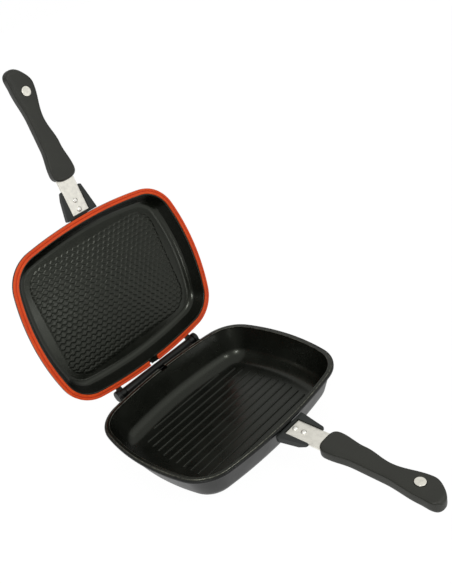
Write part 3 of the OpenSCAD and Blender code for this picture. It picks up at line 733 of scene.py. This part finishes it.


def make_base_pan():
    bead = smooth_groove(BEAD_X, BEAD_HALF, BEAD_DEPTH, BASE["height"])
    section = pan_section(BASE, bead, RIM_FALL)
    shell = build("base_shell", [sweep(outline_places(OUTLINE_STEP), section)], INNER)
    notch = [box_mesh((-HALF_W - 2, -NOTCH_WIDTH / 2, BASE["height"] - NOTCH_DEPTH),
                      (-HALF_W + STEAM_REACH, NOTCH_WIDTH / 2, BASE["height"] + 3))]
    cut_away(shell, notch)
    lip = BASE["reach"] + BASE["wall"] / math.cos(math.radians(BASE["slope"]))

    def is_outside(c, n):
        turned_out = n.x * c.x + n.y * c.y > 0.3 * math.hypot(c.x, c.y)
        return (inset_depth(c.x, c.y) < 1.2 or c.z < BASE["floor"] - 1
                or turned_out and n.z < 0.75)

    # Painted highlight: faces in the rim's groove and on a band of its inner lip take the paler
    # colour
    def is_rim_highlight(c, n):
        depth = float(inset_depth(c.x, c.y))
        in_bead = abs(depth + BEAD_X) < BEAD_HALF
        on_lip = lip - LIP_HIGHLIGHT[1] < depth < lip - LIP_HIGHLIGHT[0]
        return c.z > BASE["height"] - 1 and (in_bead or on_lip)

    paint(shell, OUTER, is_outside)
    paint(shell, RIM_HIGHLIGHT, is_rim_highlight)
    barrel, middle_web, *drums = base_hinge_meshes()
    castings = [build("base_drums", drums, OUTER, bevel=0.5)]
    for name, mesh in (("base_barrel", barrel), ("base_web", middle_web)):
        castings.append(build(name, [mesh], OUTER, bevel=0.5))
        cut_away(castings[-1], notch)
    lug = build("base_lug", lug_meshes(BASE, lambda z: z), OUTER, bevel=0.8)
    grill = build("base_ribs", ribs(), INNER)
    piece = joined("base_pan_cast", [shell, *castings, lug, grill])
    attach(piece, "base")
    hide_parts("base_pan")


# The honeycomb on the lid's floor: a centred lattice of cells, a little squeezed along X
CELL_X = 14.7
CELL_Y = 9.7
SEAM_WIDTH = 2.6
EMBOSS_HEIGHT = 0.65
EMBOSS_GRID = 0.75
EMBOSS_HALF_X = 86.0
EMBOSS_HALF_Y = 113.0
EMBOSS_CORNER = 34.0
EMBOSS_FADE = 3.0


def honeycomb(x, y):
    """Height from 0 to 1: rounded bosses on the lattice, with a hollow seam between them."""
    u1, v1 = (x / CELL_X) % 1.0, (y / CELL_Y) % 1.0
    u2, v2 = (x / CELL_X + 0.5) % 1.0, (y / CELL_Y + 0.5) % 1.0
    d1 = np.hypot(np.minimum(u1, 1 - u1) * CELL_X, np.minimum(v1, 1 - v1) * CELL_Y)
    d2 = np.hypot(np.minimum(u2, 1 - u2) * CELL_X, np.minimum(v2, 1 - v2) * CELL_Y)
    near, far = np.minimum(d1, d2), np.maximum(d1, d2)
    seam = np.clip((far - near) / SEAM_WIDTH, 0, 1)
    return seam * seam * (3 - 2 * seam)


def emboss_mesh():
    """A closed sheet let into the lid's floor, whose top carries the pattern."""
    floor = LID["floor"]
    xs = np.arange(-HALF_W, HALF_W, EMBOSS_GRID)
    ys = np.arange(-HALF_L, HALF_L, EMBOSS_GRID)
    gx, gy = np.meshgrid(xs, ys, indexing="ij")
    over_x = np.abs(gx) - (EMBOSS_HALF_X - EMBOSS_CORNER)
    over_y = np.abs(gy) - (EMBOSS_HALF_Y - EMBOSS_CORNER)
    round_out = np.hypot(np.maximum(over_x, 0), np.maximum(over_y, 0)) - EMBOSS_CORNER
    depth = -(round_out + np.minimum(np.maximum(over_x, over_y), 0))
    fade = np.clip(depth / EMBOSS_FADE, 0, 1)
    fade = fade * fade * (3 - 2 * fade)
    top = floor + 0.02 + EMBOSS_HEIGHT * honeycomb(gx, gy) * fade
    keep = depth > -1.5
    index = -np.ones(gx.shape, int)
    cells = keep[:-1, :-1] & keep[1:, :-1] & keep[:-1, 1:] & keep[1:, 1:]
    used = np.zeros(gx.shape, bool)
    for di in (0, 1):
        for dj in (0, 1):
            used[di:di + cells.shape[0], dj:dj + cells.shape[1]] |= cells
    index[used] = np.arange(used.sum())
    top = np.where(depth < 0, floor - 0.03, top)
    count = int(used.sum())
    verts = np.vstack([np.column_stack([gx[used], gy[used], top[used]]),
                       np.column_stack([gx[used], gy[used], np.full(count, floor - 1.0)])])
    faces = []
    ci, cj = np.nonzero(cells)
    for i, j in zip(ci, cj):
        a, b, c, d = index[i, j], index[i + 1, j], index[i + 1, j + 1], index[i, j + 1]
        faces.append((a, b, c, d))
        faces.append((a + count, d + count, c + count, b + count))
        for (di, dj), (p, q) in (((-1, 0), (d, a)), ((1, 0), (b, c)), ((0, -1), (a, b)),
                                 ((0, 1), (c, d))):
            ni, nj = i + di, j + dj
            if not (0 <= ni < cells.shape[0] and 0 <= nj < cells.shape[1] and cells[ni, nj]):
                faces.append((q, p, p + count, q + count))
    return verts, faces


def lid_hinge_meshes():
    """The two knuckles of the lid with their arms and heels."""
    start = BARREL_HALF + PLAY
    tube = [(KNUCKLE_R - 0.5, 0.0), (KNUCKLE_R, 0.5), (KNUCKLE_R, KNUCKLE_LENGTH - 0.5),
            (KNUCKLE_R - 0.5, KNUCKLE_LENGTH)]
    edge = -HALF_W - LID["grow"]
    seat = SEAT * KNUCKLE_R
    flange = LID_RIM_Z + LID["rim_t"]
    upper, lower = (arc(AXIS_X, AXIS_Z, seat, a, a, 0)[0] for a in (100, 12))
    arm = [upper, (edge + LID["reach"], flange), (edge + LID["reach"] + 2, flange),
           (edge + LID["reach"] + 2, LID_RIM_Z), (edge + 3, LID_RIM_Z), lower]
    heel_top = BASE["height"] - BASE["rim_t"] - HEEL_GAP
    meshes = []
    for side in (-1, 1):
        y0, y1 = sorted((side * start, side * (start + KNUCKLE_LENGTH)))
        meshes.append(along_y(revolve(tube), start, side < 0))
        meshes.append(opened(prism(arm, y0, y1)))
        meshes.append(box_mesh((AXIS_X, y0, AXIS_Z - 0.95 * KNUCKLE_R),
                               (AXIS_X + HEEL_LENGTH, y1, heel_top)))
    return meshes


def make_lid_pan():
    seal_centre = LID["grow"] - SEAL_WIDTH / 2
    half = TONGUE_W / 2 + 0.05
    groove_z = LID["height"] - TONGUE_H - 0.05
    groove = [(seal_centre + half, LID["height"]), (seal_centre + half, groove_z),
              (seal_centre - half, groove_z), (seal_centre - half, LID["height"])]
    section = pan_section(LID, groove)
    shell = build("lid_shell", [opened(turned_over(sweep(outline_places(OUTLINE_STEP), section)))],
                  INNER_LID)
    slot = box_mesh((-HALF_W - LID["grow"] - 1, -SLOT_WIDTH / 2, LID_RIM_Z - 1),
                    (-HALF_W + STEAM_REACH, SLOT_WIDTH / 2, LID_RIM_Z + SLOT_DEPTH))
    edge_x = -HALF_W - LID["grow"]
    outlet = box_mesh((edge_x - 1, OUTLET_Y[0], LID_RIM_Z - 1),
                      (edge_x + OUTLET_REACH, OUTLET_Y[1], LID_RIM_Z + OUTLET_HEIGHT))
    cut_away(shell, [opened(slot), opened(outlet)])
    a = math.radians(OPEN_ANGLE)
    mouth = Vector((math.sin(a), 0, -math.cos(a)))        # the way that the lid's hollow faces
    paint(shell, OUTER, lambda c, n: n.dot(mouth) < -0.12)
    castings = build("lid_castings", lid_hinge_meshes(), OUTER, bevel=0.5)
    lugs = lug_meshes(LID, lambda z: LID_RIM_Z + LID["height"] - (2 * CLOSED_Z - z))
    lug = build("lid_lug", [on_lid(m) for m in lugs], OUTER, bevel=0.8)
    emboss = build("lid_emboss", [opened(turned_over(emboss_mesh()))], INNER_LID, angle=80)
    piece = joined("lid_pan_cast", [shell, castings, lug, emboss])
    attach(piece, "lid")
    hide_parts("lid_pan")


# ---------------------------------------------------------------- the seal
HOLLOW_POINTS = 13           # of the section, across the hollow between the lips


def seal_section():
    """Two rounded lips with a hollow between them, and the tongue in the lid's groove."""
    c, z = LID["grow"] - SEAL_WIDTH / 2, BASE["height"] + SEAL_GAP
    w, t, lip = SEAL_WIDTH / 2, TONGUE_W / 2, 0.9
    top = z + SEAL_PROUD
    hollow = [(c + 0.8 * s, z + 0.5 * (1 - abs(s)) ** 0.8 * (1 - 0.15 * s * s))
              for s in np.linspace(1, -1, HOLLOW_POINTS)]
    inner = arc(c - w + lip, z + lip, lip, 270, 180, 6)
    outer = arc(c + w - lip, z + lip, lip, 0, -90, 6)
    tongue = [(c - w, top), (c - t, top), (c - t, top + TONGUE_H), (c + t, top + TONGUE_H),
              (c + t, top), (c + w, top)]
    return hollow + inner + tongue + outer


def make_seal():
    places = outline_places(OUTLINE_STEP, VENT_LENGTH)
    mesh = sweep(places, seal_section(), closed_path=False, closed_section=True)
    piece = build("lid_seal_ring", [opened(mesh)], SILICONE, angle=50)
    piece.data.materials.append(SEAL_GROOVE_SHADE)
    row = len(places) - 1                 # faces; the hollow's first and last row keep the plain colour
    # The hollow's inner rows get the deeper red: painted shade in the groove between the lips
    for face in piece.data.polygons[row:(HOLLOW_POINTS - 2) * row]:
        face.material_index = 1
    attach(piece, "lid")
    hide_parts("lid_seal")


# ---------------------------------------------------------------- the handles
BUTT_ROUND = 13.0
TIP_ROUND = 24.0
EDGE_ROUND = 6.0
BUTT_X = GRIP_START + BUTT_ROUND
FINGER_X = GRIP_START + 0.31 * GRIP_LENGTH
WAIST_X = GRIP_START + 0.555 * GRIP_LENGTH
HEAD_X = GRIP_END - TIP_ROUND
# (x, half width) and (x, sideways shift of the middle) along the grip
HALF_WIDTHS = ((BUTT_X, 18.4), (FINGER_X, 13.8), (WAIST_X, 10.6), (HEAD_X, 16.9))
MIDDLES = ((BUTT_X, 1.3), (FINGER_X, 1.0), (WAIST_X, -2.1), (HEAD_X, -0.5), (GRIP_END, -6.5))


def course(points, x):
    """A smooth course through (x, value) points."""
    for (x0, v0), (x1, v1) in zip(points, points[1:]):
        if x < x1 or x1 == points[-1][0]:
            t = min(1, max(0, (x - x0) / (x1 - x0)))
            return v0 + (v1 - v0) * (1 - math.cos(math.pi * t)) / 2
    return points[-1][1]


def grip_half_width(x):
    a = max(0, (BUTT_X - x) / BUTT_ROUND)
    b = max(0, (x - HEAD_X) / TIP_ROUND)
    return course(HALF_WIDTHS, x) * max(0, 1 - a ** 2.4) ** (1 / 2.4) * max(0, 1 - b * b) ** 0.5


PARTING = (4, 31)      # the columns of the grip's loft that are drawn in as its parting crease


def grip_mesh(sides=72):
    """The grip as a loft along X, squarer at the flat inner face than at the palm side."""
    xs = [BUTT_X - BUTT_ROUND * math.cos(math.radians(a)) for a in np.linspace(3, 86, 16)]
    xs += list(np.linspace(BUTT_X, HEAD_X, 60))
    xs += [HEAD_X + TIP_ROUND * math.cos(math.radians(a)) for a in np.linspace(86, 3, 22)]
    verts, faces = [], []
    for x in xs:
        a = min(1, (x - GRIP_START) / EDGE_ROUND)
        b = min(1, (GRIP_END - x) / EDGE_ROUND)
        shrink = 0.35 + 0.65 * math.sqrt(1 - (1 - a) ** 2) * math.sqrt(1 - (1 - b) ** 2)
        w, h, m = grip_half_width(x), GRIP_T / 2 * shrink, course(MIDDLES, x)
        for i in range(sides):
            t = 2 * math.pi * (i + 0.5) / sides
            c, s = math.cos(t), math.sin(t)
            p = 0.34 if s > 0 else 0.52
            reach = w - (0.8 if i in PARTING else 0.0)
            verts.append((x, m + reach * math.copysign(abs(c) ** p, c),
                          GRIP_TOP - GRIP_T / 2 + h * math.copysign(abs(s) ** p, s)))
    for r in range(len(xs) - 1):
        for i in range(sides):
            k = (i + 1) % sides
            faces.append((r * sides + i, r * sides + k, (r + 1) * sides + k, (r + 1) * sides + i))
    faces.append(tuple(reversed(range(sides))))
    faces.append(tuple((len(xs) - 1) * sides + i for i in range(sides)))
    return np.array(verts), faces


def rivet_meshes():
    """Domed heads on the strap; the shanks and closing heads are inside and below."""
    dome_r = (RIVET_HEAD ** 2 / 4 + RIVET_HEAD_H ** 2) / (2 * RIVET_HEAD_H)
    reach = math.asin(RIVET_HEAD / 2 / dome_r)
    dome = [(RIVET_HEAD / 2 - 0.1, 0.0)]
    dome += [(max(0.05, dome_r * math.sin(a)), RIVET_HEAD_H - dome_r + dome_r * math.cos(a))
             for a in np.linspace(reach, 0.0, 12)]
    shank = [(SHANK_R, LUG_Z - STRAP_TOP), (SHANK_R, 0.5)]
    foot = [(3.3, -1.8), (3.8, -1.2), (3.8, 0.0)]
    meshes = []
    for x in RIVET_PLACES:
        meshes.append(moved(revolve(dome), x, 0, STRAP_TOP))
        meshes.append(moved(revolve(shank, 32), x, 0, STRAP_TOP))
        meshes.append(moved(revolve(foot), x, 0, LUG_Z))
    return meshes


def magnet_mesh():
    r = MAGNET_D / 2 - 0.3
    profile = [(r - 0.2, 0.0), (r, 0.2), (r, MAGNET_T - 0.5)]
    profile += [(r - 0.5 + 0.5 * math.cos(a), MAGNET_T - 0.5 + 0.5 * math.sin(a))
                for a in np.linspace(0.3, math.pi / 2, 5)]
    profile += [(r - 1.2, MAGNET_T), (0.1, MAGNET_T)]
    return moved(revolve(profile, MAGNET_SIDES), MAGNET_X, 0, MAGNET_TOP - MAGNET_T)


def make_handle(body, place, slope):
    """Grip, strap, bracket, rivets, magnet and screw of one handle."""
    def in_grip(mesh):
        return place(bent(mesh, slope))

    grip = build(f"{body}_grip_moulding", [in_grip(grip_mesh())], GRIP_PLASTIC, angle=60)
    seat_r = MAGNET_D / 2 + 0.35
    seat = moved(revolve([(seat_r, 0.0), (seat_r, 8.0)], MAGNET_SIDES),
                 MAGNET_X, 0, MAGNET_TOP - MAGNET_T - 0.05)
    sink = moved(revolve([(SCREW_SEAT_R, 0.0), (SCREW_SEAT_R, 1 + SCREW_SEAT_DEPTH)]),
                 SCREW_X, 0, GRIP_TOP - GRIP_T - 1)
    cut_away(grip, [in_grip(seat), in_grip(sink)])
    strap = softened(f"{body}_strap", f"{body}_strap_steel", STEEL, 0.25)
    bracket = softened(f"{body}_bracket", f"{body}_bracket_moulding", BRACKET_PLASTIC, 0.6, 3)
    rivets = build(f"{body}_rivet_heads", [place(m) for m in rivet_meshes()], RIVET_STEEL,
                   angle=50)
    magnet = build(f"{body}_magnet_disc", [in_grip(magnet_mesh())], MAGNET_METAL, angle=50)
    # Painted shade: the side of the magnet, which stands proud of the grip, takes the dark bracket
    # plastic
    magnet.data.materials.append(BRACKET_PLASTIC)
    for face in magnet.data.polygons[:2 * MAGNET_SIDES]:      # its side wall, the first two rows: painted shade
        face.material_index = 1
    for piece, node, slot in ((grip, "grip", "grip"), (strap, "strap", "steel"),
                              (bracket, "bracket", "bracket"), (rivets, "rivets", "rivet_steel"),
                              (magnet, "magnet", "magnet")):
        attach(piece, body)
        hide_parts(f"{body}_{node}")
    give_material(f"{body}_grip_screw", DARK_STEEL)


def give_material(node, material):
    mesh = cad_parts[node].data
    mesh.materials.clear()
    mesh.materials.append(material)
    mesh.polygons.foreach_set("use_smooth", [True] * len(mesh.polygons))
    mesh.set_sharp_from_angle(angle=math.radians(CAD_SMOOTH_ANGLE))


# ---------------------------------------------------------------- stage, lights and camera
STAGE_HALF = 6.0             # metres
FLOOR_GLOW = 1.03            # what is seen and mirrored of the floor, where 1 is white
FLOOR_GLOW_SHARE = 0.94      # the rest is the shaded floor, which keeps the shadow
ROOM_LOW = 0.10              # light of the world at the horizon
ROOM_HIGH = 0.85             # and overhead


def make_stage():
    mesh = bpy.data.meshes.new("floor")
    h = STAGE_HALF
    mesh.from_pydata([(-h, -h, 0), (h, -h, 0), (h, h, 0), (-h, h, 0)], [], [(0, 1, 2, 3)])
    floor = bpy.data.objects.new("floor", mesh)
    bpy.context.scene.collection.objects.link(floor)
    mat, tree, shader = new_material("pale_floor")
    shader.inputs["Base Color"].default_value = (0.86, 0.86, 0.85, 1.0)
    shader.inputs["Roughness"].default_value = 0.8
    glow = tree.nodes.new("ShaderNodeEmission")
    glow.inputs["Strength"].default_value = FLOOR_GLOW
    mix = tree.nodes.new("ShaderNodeMixShader")
    path = tree.nodes.new("ShaderNodeLightPath")
    share = tree.nodes.new("ShaderNodeMath")
    share.operation = "MULTIPLY"
    share.inputs[1].default_value = FLOOR_GLOW_SHARE
    seen = tree.nodes.new("ShaderNodeMath")
    seen.operation = "MAXIMUM"
    tree.links.new(path.outputs["Is Camera Ray"], seen.inputs[0])
    tree.links.new(path.outputs["Is Glossy Ray"], seen.inputs[1])
    tree.links.new(seen.outputs[0], share.inputs[0])
    tree.links.new(share.outputs[0], mix.inputs["Fac"])
    tree.links.new(shader.outputs["BSDF"], mix.inputs[1])
    tree.links.new(glow.outputs["Emission"], mix.inputs[2])
    out = next(n for n in tree.nodes if n.type == "OUTPUT_MATERIAL")
    tree.links.new(mix.outputs["Shader"], out.inputs["Surface"])
    mesh.materials.append(mat)


def make_world():
    """White where it is seen; where it lights or is mirrored, a dim room that brightens upwards."""
    world = bpy.data.worlds.new("studio")
    bpy.context.scene.world = world
    world.use_nodes = True
    tree = world.node_tree
    tree.nodes.clear()
    out = tree.nodes.new("ShaderNodeOutputWorld")
    background = tree.nodes.new("ShaderNodeBackground")
    background.inputs["Color"].default_value = (1.0, 1.0, 1.0, 1.0)
    path = tree.nodes.new("ShaderNodeLightPath")
    seen = tree.nodes.new("ShaderNodeMath")
    seen.operation = "MAXIMUM"
    tree.links.new(path.outputs["Is Camera Ray"], seen.inputs[0])
    tree.links.new(path.outputs["Is Transmission Ray"], seen.inputs[1])
    coords = tree.nodes.new("ShaderNodeTexCoord")
    split = tree.nodes.new("ShaderNodeSeparateXYZ")
    tree.links.new(coords.outputs["Generated"], split.inputs["Vector"])
    room = tree.nodes.new("ShaderNodeMapRange")
    room.interpolation_type = "SMOOTHSTEP"
    room.inputs["From Min"].default_value = 0.0
    room.inputs["From Max"].default_value = 0.6
    room.inputs["To Min"].default_value = ROOM_LOW
    room.inputs["To Max"].default_value = ROOM_HIGH
    tree.links.new(split.outputs["Z"], room.inputs["Value"])
    strength = tree.nodes.new("ShaderNodeMath")
    strength.operation = "MAXIMUM"
    tree.links.new(seen.outputs[0], strength.inputs[0])
    tree.links.new(room.outputs["Result"], strength.inputs[1])
    tree.links.new(strength.outputs[0], background.inputs["Strength"])
    tree.links.new(background.outputs["Background"], out.inputs["Surface"])


def area_light(name, place, target, size, power):
    data = bpy.data.lights.new(name, "AREA")
    data.shape = "RECTANGLE"
    data.size, data.size_y = size
    data.energy = power
    lamp = bpy.data.objects.new(name, data)
    lamp.location = place
    lamp.rotation_euler = (Vector(target) - Vector(place)).to_track_quat("-Z", "Y").to_euler()
    lamp.visible_camera = False
    bpy.context.scene.collection.objects.link(lamp)


def make_lights():
    aim = (0.0, 0.0, 0.05)
    area_light("softbox", (1.02, 0.80, 0.75), aim, (1.5, 1.2), 2.6)
    area_light("lamp_a", (0.72, -1.24, 1.00), aim, (0.26, 0.26), 7.5)
    area_light("lamp_b", (1.29, 0.14, 1.17), aim, (0.30, 0.30), 4.5)
    area_light("window", (0.95, -0.98, 0.07), (-0.1, 0.1, 0.15), (0.30, 0.13), 1.0)
    area_light("low_panel", (1.50, 0.42, 0.09), (-0.1, -0.1, 0.15), (0.45, 0.16), 0.7)


# The camera, from points of the photograph: 452 x 584 pixels, the focal length in pixels
IMAGE_HEIGHT = 584
FOCAL_PX = 683.54
CAMERA_PLACE = (0.60242, -0.43962, 0.61932)
HEADING = 2.50024
PITCH = 0.49263
ROLL = -0.28244
CENTRE_SHIFT_PX = (-31.97, -6.13)      # of the optical axis from the middle of the picture
SENSOR = 36.0


def make_camera():
    data = bpy.data.cameras.new("camera")
    data.sensor_width = SENSOR
    data.lens = SENSOR * FOCAL_PX / IMAGE_HEIGHT
    data.shift_x = -CENTRE_SHIFT_PX[0] / IMAGE_HEIGHT
    data.shift_y = CENTRE_SHIFT_PX[1] / IMAGE_HEIGHT
    data.clip_end = 50.0
    camera = bpy.data.objects.new("camera", data)
    look = Vector((math.cos(PITCH) * math.cos(HEADING), math.cos(PITCH) * math.sin(HEADING),
                   -math.sin(PITCH)))
    level_right = look.cross(Vector((0, 0, 1))).normalized()
    level_up = level_right.cross(look)
    right = math.cos(ROLL) * level_right + math.sin(ROLL) * level_up
    up = math.cos(ROLL) * level_up - math.sin(ROLL) * level_right
    camera.matrix_world = Matrix.Translation(CAMERA_PLACE) @ Matrix(
        (right, up, -look)).transposed().to_4x4()
    bpy.context.scene.collection.objects.link(camera)
    bpy.context.scene.camera = camera


make_camera()
make_stage()
make_world()
make_lights()
make_base_pan()
make_lid_pan()
make_seal()
make_handle("base", lambda mesh: mesh, HANDLE_SLOPE + HANDLE_SPREAD)
make_handle("lid", on_lid, HANDLE_SPREAD - HANDLE_SLOPE)
give_material("hinge_pin_left", DARK_STEEL)
give_material("hinge_pin_right", DARK_STEEL)
bpy.context.scene.view_settings.view_transform = "Standard"
